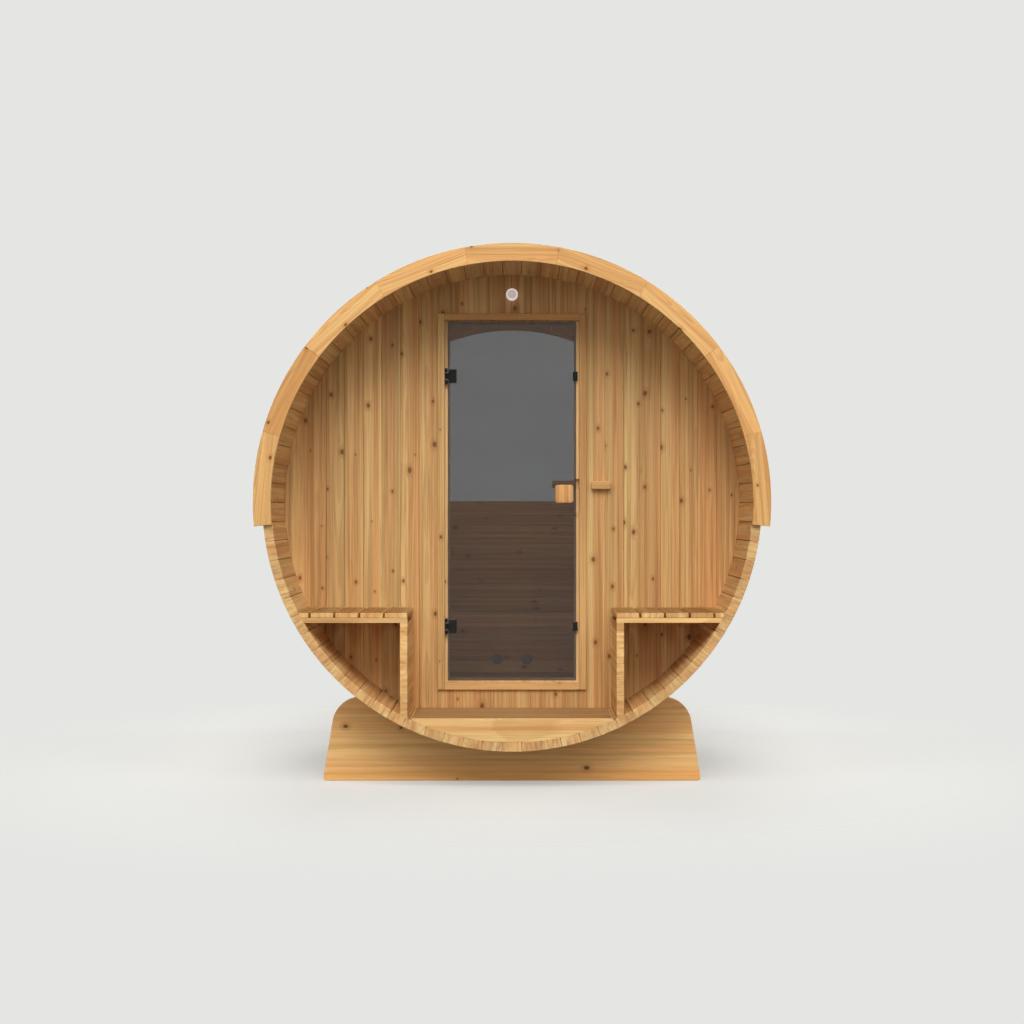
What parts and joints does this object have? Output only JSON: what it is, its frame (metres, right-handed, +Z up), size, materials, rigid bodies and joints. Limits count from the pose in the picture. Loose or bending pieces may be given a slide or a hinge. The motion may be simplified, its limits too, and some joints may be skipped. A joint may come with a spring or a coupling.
{
  "type": "barrel sauna",
  "caption": "Stave barrel cabin lying on cradles, with a shingled top, a covered porch with side benches, a hinged glass door and a half-moon window in the rear wall.",
  "frame": {"origin": "on the ground under the middle of the barrel", "axes": "+Z up, the porch and the door face -Y, the barrel's axis lies along Y"},
  "size_m": [2.3478, 2.4, 2.4858],
  "materials": {
    "barrel_wood": "planed spruce, clear",
    "trim_wood": "planed spruce, clear",
    "wall_wood": "planed spruce boards, clear",
    "floor_wood": "planed spruce boards, clear",
    "bench_wood": "planed spruce, clear",
    "frame_wood": "planed spruce, clear",
    "cradle_wood": "planed larch, clear",
    "dark_wood": "stained",
    "hoop_steel": "satin",
    "roof_felt": "mineral granules, matt",
    "black_metal": "satin black",
    "black_plastic": "gloss",
    "door_glass": "tinted, clear",
    "window_glass": "clear",
    "lamp_white": "satin"
  },
  "bodies": {
    "root": {"staves_01": "barrel_wood", "staves_02": "barrel_wood", "staves_03": "barrel_wood", "staves_04": "barrel_wood", "staves_05": "barrel_wood", "staves_06": "barrel_wood", "staves_07": "barrel_wood", "staves_08": "barrel_wood", "staves_09": "barrel_wood", "staves_10": "barrel_wood", "staves_11": "barrel_wood", "staves_12": "barrel_wood", "steel_hoops": "hoop_steel", "roof_shingles": "roof_felt", "front_trim": "trim_wood", "rear_trim": "trim_wood", "cradle_front": "cradle_wood", "cradle_rear": "cradle_wood", "front_wall_left": "wall_wood", "front_wall_right": "wall_wood", "front_wall_over_door": "wall_wood", "front_wall_under_door": "wall_wood", "rear_wall": "wall_wood", "rear_window_rim": "wall_wood", "rear_window_glass": "window_glass", "rear_vents": "black_plastic", "porch_floor": "floor_wood", "porch_apron": "trim_wood", "sauna_floor": "floor_wood", "bench_slats_left": "bench_wood", "bench_slats_right": "bench_wood", "bench_bearers": "bench_wood", "bench_panel_left": "bench_wood", "bench_panel_right": "bench_wood", "door_jambs": "frame_wood", "door_rails": "frame_wood", "door_stops": "frame_wood", "frame_hinges": "black_metal", "wall_block": "frame_wood", "porch_lamp": "lamp_white"},
    "door": {"door_glass": "door_glass", "door_hinges": "black_metal", "door_knob": "frame_wood", "inside_handle": "dark_wood", "door_catches": "black_metal"}
  },
  "joints": [
    {"name": "door_hinge", "type": "hinge", "parent": "root", "child": "door", "pos_m": [-0.314, -0.748, 1.317], "axis": [0, 0, -1], "range_deg": [0, 100]}
  ]
}
